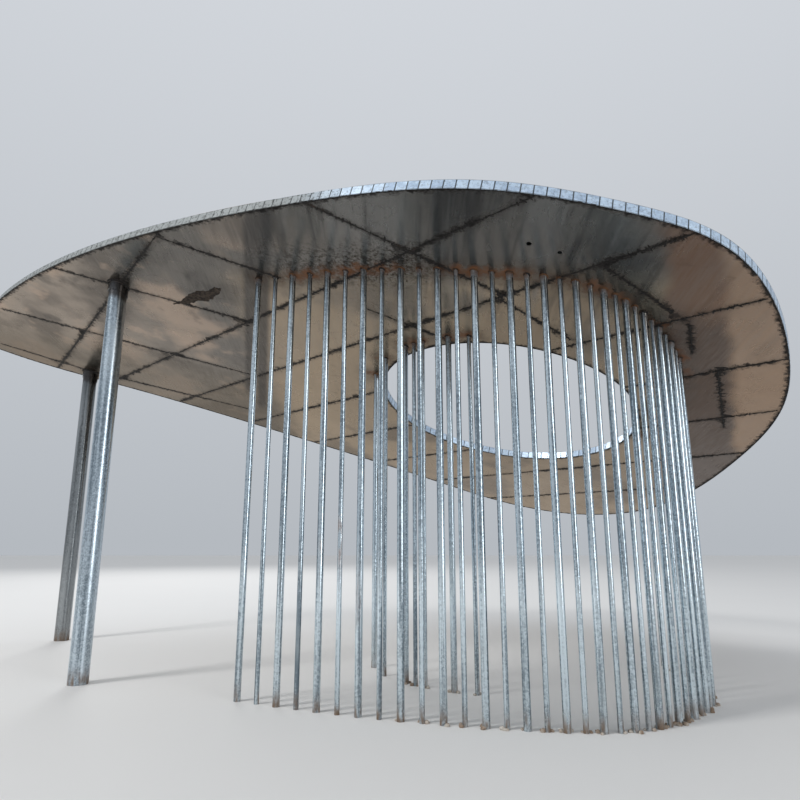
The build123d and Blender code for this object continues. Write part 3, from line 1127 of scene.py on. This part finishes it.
@dataclass
class EdgeStrips:
    """The creased strips of the channel round the roof and round the opening."""

    layout: Layout
    wall: float = 0.003
    slit: float = 0.0105
    slit_depth: float = 0.0025
    slit_tone: float = 0.5
    waver: float = 0.0013

    def ring(self, loop: Sequence[Vector], outward: float, seed: int) -> Mesh:
        """Makes an upright strip along a closed loop, with a slit at each crease.

        Args:
            loop: The loop that its face follows.
            outward: 1 where its face looks away from the loop's middle, -1 where it looks to the middle.
            seed: What its unevenness is drawn from.

        Returns:
            The strip.
        """
        dice = random.Random(seed)
        bm = bmesh.new()
        edges = closed_edges(bm, loop)
        top = made_verts(bmesh.ops.extrude_edge_only(bm, edges=edges))
        bmesh.ops.translate(bm, verts=top, vec=(0.0, 0.0, PLANE.depth))
        bmesh.ops.recalc_face_normals(bm, faces=bm.faces[:])
        middle = sum(loop, Vector()) / len(loop)
        first = bm.faces[:][0]
        if first.normal.dot((first.calc_center_median() - middle).normalized()) * outward < 0:
            bmesh.ops.reverse_faces(bm, faces=bm.faces[:])
        bm.normal_update()
        tone = bm.faces.layers.float.new("flat")
        dark = bm.faces.layers.float.new("slit")
        for edge in edges:
            edge.link_faces[0][tone] = dice.random()
        for vertex in bm.verts:
            vertex.co -= flat(vertex.normal.x, vertex.normal.y) * dice.uniform(0.0, self.waver)
        creases = [e for e in bm.edges if abs(e.verts[0].co.z - e.verts[1].co.z) > PLANE.depth / 2]
        cut = {"offset": self.slit / 2, "offset_type": "OFFSET", "segments": 1, "profile": 0.5}
        slits = bmesh.ops.bevel(bm, geom=creases, affect="EDGES", material=-1, **cut)["faces"]
        for face in bmesh.ops.extrude_discrete_faces(bm, faces=slits)["faces"]:
            bmesh.ops.translate(bm, verts=face.verts[:], vec=-face.normal * self.slit_depth)
            for part in (face, *(other for edge in face.edges for other in edge.link_faces)):
                part[tone], part[dark] = self.slit_tone, 1.0
        bmesh.ops.remove_doubles(bm, verts=bm.verts[:], dist=1e-6)
        bm.normal_update()
        return bm

    def build(self, finish: Material) -> None:
        """Makes the two strips in place of the channels.

        Args:
            finish: Their material.
        """
        for name, loop, outward, seed, channel in (
            ("roof_edge_strip", self.layout.outline, 1.0, 5, "edge_channel"),
            ("opening_edge_strip", self.layout.oculus, -1.0, 9, "oculus_channel"),
        ):
            nodes = sorted(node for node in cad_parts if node.startswith(channel))
            piece = link(name, self.ring(loop, outward, seed), finish, nodes, smooth=False)
            thick = piece.modifiers.new("wall", "SOLIDIFY")
            thick.thickness = self.wall
            thick.offset = -1.0


@dataclass
class Welds:
    """The weld beads along the seams and round the heads of the tubes and posts."""

    layout: Layout
    step: float = 0.024
    width: float = 0.0075
    rise: float = 0.6
    waver: float = 0.003
    start_size: Pair = (0.002, 0.001)
    end_share: float = 0.4
    beat: int = 5
    beat_thick: int = 2
    thick: Pair = (1.0, 1.9)
    thin: Pair = (0.25, 0.6)
    carry: float = 0.3
    profile: tuple[Pair, ...] = ((-1.0, 0.0), (-0.6, 0.55), (0.0, 0.8), (0.6, 0.55), (1.0, 0.0))
    rim_gap: float = 0.013
    rim_share: float = 0.8
    tick_step: Pair = (0.028, 0.070)
    tick_length: Pair = (0.016, 0.052)
    tick_width: Pair = (0.0055, 0.0120)
    tick_height: float = 0.0028
    tick_turn: float = 0.8
    tick_shift: float = 0.006
    tick_start: float = 0.05
    crowd_scale: float = 1.9
    crowd_level: float = 4.0
    crowd_gate: float = -0.22
    crowd_reach: float = 0.8
    crowd_step: float = 0.35
    collar_steps: int = 20
    collar_profile: tuple[Pair, ...] = ((0.0, 0.0), (0.35, 0.45), (1.0, 1.0))
    collar_lump: float = 0.35
    tube_bead: float = 0.011
    post_bead: float = 0.016
    post_room: float = 0.010
    seed: int = 11

    def run(self, bm: Mesh, line: Line, level: float, facing: float, dice: random.Random) -> None:
        """Adds one uneven bead along a straight seam.

        Args:
            bm: The mesh it is added to.
            line: The seam's two ends.
            level: Its height over the soffit's underside.
            facing: 1 for a bead that stands up, -1 for one that hangs down.
            dice: What its unevenness is drawn from.
        """
        start, end = Vector((*line[0], level)), Vector((*line[1], level))
        along = (end - start).normalized()
        across = flat(-along.y, along.x)
        count = max(2, round((end - start).length / self.step))
        wide, high = self.start_size
        ring = [bm.verts.new(start + across * a * wide + Vector((0, 0, facing * h * high))) for a, h in self.profile]
        edges = [bm.edges.new(pair) for pair in zip(ring, ring[1:])]
        swell, beat = 1.0, dice.randrange(self.beat)
        for index in range(1, count + 1):
            made = bmesh.ops.extrude_edge_only(bm, edges=edges)
            fresh = made_verts(made)
            edges = [e for e in made["geom"] if isinstance(e, bmesh.types.BMEdge) and set(e.verts) <= set(fresh)]
            stitch = dice.uniform(*(self.thick if (index + beat) % self.beat < self.beat_thick else self.thin))
            swell = self.carry * swell + (1 - self.carry) * stitch
            place = start + (end - start) * index / count + across * dice.uniform(-self.waver, self.waver)
            size = self.width * swell * (self.end_share if index == count else 1.0)
            fresh.sort(key=lambda v: (v.co - start).dot(across))
            for vertex, (a, h) in zip(fresh, self.profile):
                lift = Vector((0, 0, facing * size * h * self.rise))
                vertex.co = place + across * a * size + lift + along * dice.uniform(-self.waver, self.waver)

    def ticks(self, bm: Mesh, line: Line, dice: random.Random) -> None:
        """Adds the short dark welds that stitch across one seam, thick in places and missing in others.

        Args:
            bm: The mesh they are added to.
            line: The seam's two ends.
            dice: What their unevenness is drawn from.
        """
        start, end = flat(*line[0]), flat(*line[1])
        length = (end - start).length
        heading = math.atan2(end.y - start.y, end.x - start.x)
        travelled = dice.uniform(0.0, self.tick_start)
        ticks = []
        while travelled < length:
            place = start + (end - start) * travelled / length
            u, v = (part * self.crowd_scale for part in place.xy)
            crowd = noise.noise(Vector((u, v, self.crowd_level)))
            if crowd > self.crowd_gate:
                reach = dice.uniform(*self.tick_length) * (1.0 + self.crowd_reach * max(0.0, crowd))
                turn = heading + math.pi / 2 + dice.uniform(-self.tick_turn, self.tick_turn)
                width = dice.uniform(*self.tick_width)
                shift = [dice.uniform(-self.tick_shift, self.tick_shift) for _ in range(2)]
                ticks.append((place + flat(*shift), turn, reach, width))
            travelled += dice.uniform(*self.tick_step) * (1.0 - self.crowd_step * crowd)
        tips = [
            (spot.x + side * reach * math.cos(turn), spot.y + side * reach * math.sin(turn))
            for spot, turn, reach, _ in ticks
            for side in (-1.0, 1.0)
        ]
        held = self.layout.covers(np.array(tips)) if tips else []
        for number, (spot, turn, reach, width) in enumerate(ticks):
            if held[2 * number] and held[2 * number + 1]:
                size = Matrix.Diagonal((reach, width, self.tick_height, 1.0))
                matrix = Matrix.Translation(spot) @ Matrix.Rotation(turn, 4, "Z") @ size
                bmesh.ops.create_icosphere(bm, subdivisions=1, radius=1.0, matrix=matrix)

    def collar(self, bm: Mesh, spot: Vector, radius: float, size: float, dice: random.Random) -> None:
        """Adds one uneven ring of weld where a tube meets the soffit.

        Args:
            bm: The mesh it is added to.
            spot: The middle of the tube's head, in plane coordinates.
            radius: The tube's radius.
            size: The width of the bead.
            dice: What its unevenness is drawn from.
        """
        profile = self.collar_profile
        points = [bm.verts.new(Vector((radius + size * out, 0.0, -size * (1 - down)))) for down, out in profile]
        edges = [bm.edges.new(pair) for pair in zip(points, points[1:])]
        about = {"cent": (0, 0, 0), "axis": (0, 0, 1), "dvec": (0, 0, 0), "angle": 2 * math.pi}
        bmesh.ops.spin(bm, geom=[*points, *edges], steps=self.collar_steps, use_merge=True, **about)
        for vertex in [v for v in bm.verts if not v.tag]:
            vertex.tag = True
            lump = 1.0 + dice.uniform(-self.collar_lump, self.collar_lump)
            reach = math.hypot(vertex.co.x, vertex.co.y)
            grown = radius + (reach - radius) * lump
            place = flat(vertex.co.x, vertex.co.y) * (grown / max(reach, 1e-6))
            vertex.co = Vector((place.x, place.y / math.cos(PLANE.pitch), vertex.co.z * lump)) + spot

    def build(self, seam_finish: Material, head_finish: Material) -> None:
        """Makes the beads of the soffit, the deck, the roof's rim and the tube heads.

        Args:
            seam_finish: The material of the welds along the seams and round the posts.
            head_finish: The material of the welds round the tubes.
        """
        layout, dice = self.layout, random.Random(self.seed)
        under, stitches, over, rim, heads, posts = (bmesh.new() for _ in range(6))
        soffit_lines = layout.seam_lines()
        below = {"level": -0.0005, "facing": -1.0, "dice": dice}
        for line in soffit_lines:
            self.run(under, line, **below)
        for line in soffit_lines:
            self.ticks(stitches, line, dice)
        for line in layout.deck_lines():
            self.run(over, line, PLANE.depth - 0.001, 1.0, dice)
        for loop in layout.rims(self.rim_gap):
            for line in closed_lines(loop):
                if dice.random() < self.rim_share:
                    self.run(rim, line, **below)
        for spot, radius in layout.tubes:
            self.collar(heads, PLANE.head(spot), radius, self.tube_bead, dice)
        for spot, radius in layout.posts:
            self.collar(posts, PLANE.head(spot), radius + self.post_room, self.post_bead, dice)
        for bm in (heads, posts):
            bmesh.ops.recalc_face_normals(bm, faces=bm.faces[:])
        for name, bm, slot, finish in (
            ("soffit_seam_welds", under, Slot.SOFFIT, seam_finish),
            ("soffit_seam_stitches", stitches, Slot.SOFFIT, seam_finish),
            ("deck_seam_welds", over, Slot.DECK, seam_finish),
            ("rim_welds", rim, Slot.CHANNEL, seam_finish),
            ("head_welds", heads, Slot.TUBE, head_finish),
            ("post_head_welds", posts, Slot.POST, seam_finish),
        ):
            link(name, bm, finish)


@dataclass
class TornPatch:
    """The torn leaf of old film that is stuck under the soffit near the left post."""

    corners: tuple[Pair, ...] = (
        (-0.305, -1.723), (-0.065, -1.716), (0.135, -1.745), (0.305, -1.723), (0.382, -1.663),
        (0.552, -1.659), (0.616, -1.606), (0.5, -1.562), (0.332, -1.541), (0.198, -1.542),
        (0.105, -1.61), (-0.06, -1.625), (-0.164, -1.676),
    )
    thickness: float = 0.0045
    curl: Pair = (0.85, 1.25)
    tear: float = 0.012
    parts: int = 5
    seed: int = 17

    def build(self, finish: Material) -> None:
        """Makes the leaf with ragged, slightly curled edges.

        Args:
            finish: Its material.
        """
        dice = random.Random(self.seed)
        bm = bmesh.new()
        ring = []
        for index, corner in enumerate(self.corners):
            for part in range(self.parts):
                place = flat(*self.corners[index - 1]).lerp(flat(*corner), part / self.parts)
                ring.append(place + flat(dice.uniform(-1, 1), dice.uniform(-1, 1)) * self.tear)
        bmesh.ops.triangle_fill(bm, use_beauty=True, use_dissolve=False, edges=closed_edges(bm, ring))
        for vertex in made_verts(bmesh.ops.extrude_face_region(bm, geom=bm.faces[:])):
            vertex.co.z -= self.thickness * dice.uniform(*self.curl)
        bmesh.ops.recalc_face_normals(bm, faces=bm.faces[:])
        link("torn_patch", bm, finish)


@dataclass
class Footing:
    """Lumps of mortar and soil at the feet of the right-hand tubes."""

    layout: Layout
    first_x: float = 1.0
    lumps: int = 3
    lump_size: Pair = (0.010, 0.024)
    uneven: float = 0.35
    grain: float = 60.0
    away: float = 0.7
    squash: float = 0.75
    lift: float = 0.4
    seed: int = 3

    def build(self, finish: Material) -> None:
        """Makes the lumps as one piece.

        Args:
            finish: Their material.
        """
        dice = random.Random(self.seed)
        bm = bmesh.new()
        for spot, radius in [foot for foot in self.layout.tubes if foot[0].x >= self.first_x]:
            for _ in range(self.lumps):
                size = dice.uniform(*self.lump_size)
                turn = dice.uniform(0, 2 * math.pi)
                reach = radius + size * self.away
                made = bmesh.ops.create_icosphere(bm, subdivisions=2, radius=size)
                for vertex in made["verts"]:
                    vertex.co *= 1.0 + self.uneven * noise.noise(vertex.co * self.grain + flat(turn, 0))
                    vertex.co.z = max(0.0, vertex.co.z * self.squash + size * self.lift)
                    vertex.co += flat(spot.x + reach * math.cos(turn), spot.y + reach * math.sin(turn))
        link("foot_mortar", bm, finish, tilted=False)


@dataclass(frozen=True)
class Lamp:
    """One soft rectangular lamp, aimed at a spot."""

    name: str
    place: Triple
    target: Triple
    size: Pair
    power: float

    def build(self) -> None:
        """Hangs the lamp."""
        data = bpy.data.lights.new(self.name, "AREA")
        data.shape = "RECTANGLE"
        data.size, data.size_y = self.size
        data.energy = self.power
        lamp = bpy.data.objects.new(self.name, data)
        lamp.location = self.place
        lamp.rotation_euler = (Vector(self.target) - Vector(self.place)).to_track_quat("-Z", "Y").to_euler()
        bpy.context.scene.collection.objects.link(lamp)


@dataclass
class Studio:
    """The floor, the backdrop light, the lamps and the camera."""

    eye: Triple = (1.1285, -8.0927, 1.419)
    look_up: float = math.atan(635 / 2850)
    focal_share: float = 635 / 800
    sensor: float = 36.0
    view_end: float = 200.0
    floor_half: float = 60.0
    floor_tone: Colour = (0.74, 0.73, 0.71)
    horizon: Colour = (0.64, 0.68, 0.73)
    overhead: Colour = (0.90, 0.94, 1.0)
    overhead_from: float = 0.75
    world_strength: float = 0.72
    lamps: tuple[Lamp, ...] = (
        Lamp("key", (-16.0, -11.0, 16.0), (0.0, 0.0, 2.0), (5.0, 5.0), 2500.0),
        Lamp("fill", (14.0, -15.0, 4.6), (0.0, 0.0, 3.0), (5.0, 9.0), 560.0),
        Lamp("back", (-9.0, 22.0, 17.0), (0.0, 0.0, 2.0), (9.0, 9.0), 1900.0),
    )

    def build(self) -> None:
        """Sets the stage."""
        self.camera()
        self.floor()
        self.world()
        for lamp in self.lamps:
            lamp.build()
        bpy.context.scene.view_settings.view_transform = "Standard"

    def camera(self) -> None:
        """Sets the camera at the photograph's place."""
        data = bpy.data.cameras.new("camera")
        data.sensor_width = self.sensor
        data.lens = self.sensor * self.focal_share
        data.clip_end = self.view_end
        camera = bpy.data.objects.new("camera", data)
        camera.location = self.eye
        camera.rotation_euler = (math.pi / 2 + self.look_up, 0.0, 0.0)
        bpy.context.scene.collection.objects.link(camera)
        bpy.context.scene.camera = camera

    def floor(self) -> None:
        """Lays a plain pale floor."""
        bm = bmesh.new()
        bmesh.ops.create_grid(bm, x_segments=1, y_segments=1, size=self.floor_half)
        mesh = bpy.data.meshes.new("floor")
        bm.to_mesh(mesh)
        bm.free()
        floor = bpy.data.objects.new("floor", mesh)
        bpy.context.scene.collection.objects.link(floor)
        bench = Bench("studio_floor")
        worn = tuple(0.97 * c for c in self.floor_tone)
        tone = bench.coats(self.floor_tone, (bench.noise(0.4, 3.0), worn))
        mesh.materials.append(bench.finish(tone, 0.85, 0.0))

    def world(self) -> None:
        """Lights a pale world that fades from the horizon to overhead."""
        world = bpy.data.worlds.new("studio")
        bpy.context.scene.world = world
        tree = Tree(world)
        upward = tree.node("SeparateXYZ", {"Vector": tree.node("TexCoord", {}, "Generated")}, "Z")
        fade = tree.node("ValToRGB", {"Fac": upward}, "Color")
        low, high = fade.socket.node.color_ramp.elements
        low.position, low.color = 0.0, (*self.horizon, 1.0)
        high.position, high.color = self.overhead_from, (*self.overhead, 1.0)
        glow = tree.node("Background", {"Color": fade, "Strength": self.world_strength}, "Background")
        tree.add("OutputWorld", {"Surface": glow})


def main() -> None:
    """Builds the studio and dresses the pavilion, piece by piece."""
    logging.basicConfig(level=logging.INFO, format="%(name)s: %(message)s")
    Studio().build()
    layout = Layout()
    log.info("outline of %d flats, %d tubes, %d posts", len(layout.outline), len(layout.tubes), len(layout.posts))

    tubes = Galvanised("tube_galvanised")
    post = Galvanised(
        "post_galvanised", pale=(0.62, 0.71, 0.78), streak=17.0, collar=0.16, head_rust=0.03, roughness=(0.24, 0.42)
    )
    # Painted shade: a darker copy of the post's finish for the far post, which stands in shadow.
    far_post = replace(
        post,
        name="far_post_shaded_galvanised",
        pale=(0.34, 0.36, 0.37),
        dark=(0.11, 0.12, 0.125),
        bloom=(0.24, 0.25, 0.25),
        roughness=(0.20, 0.36),
    )
    rest = Galvanised("frame_galvanised", roughness=(0.35, 0.5))
    tube_finish, post_finish, shaded_far_post_finish, frame_finish = (steel.build() for steel in (tubes, post, far_post, rest))
    for name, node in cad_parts.items():
        if "tubes" in name:
            dress(node, tube_finish)
        elif name == "far_post":
            dress(node, shaded_far_post_finish)
        elif name.endswith("_post"):
            dress(node, post_finish)
        else:
            dress(node, frame_finish)

    RoofSheets(layout).build(SoffitSheet().build(), DeckSheet().build())
    EdgeStrips(layout).build(EdgeStrip().build())
    seam_weld = Weld("seam_weld", rust=(0.055, 0.038, 0.028), rusty=0.15)
    Welds(layout).build(seam_weld.build(), Weld("head_weld", rusty=0.8).build())
    TornPatch().build(TornFilm().build())
    Footing(layout).build(Mortar().build())


if __name__ == "__main__":
    main()
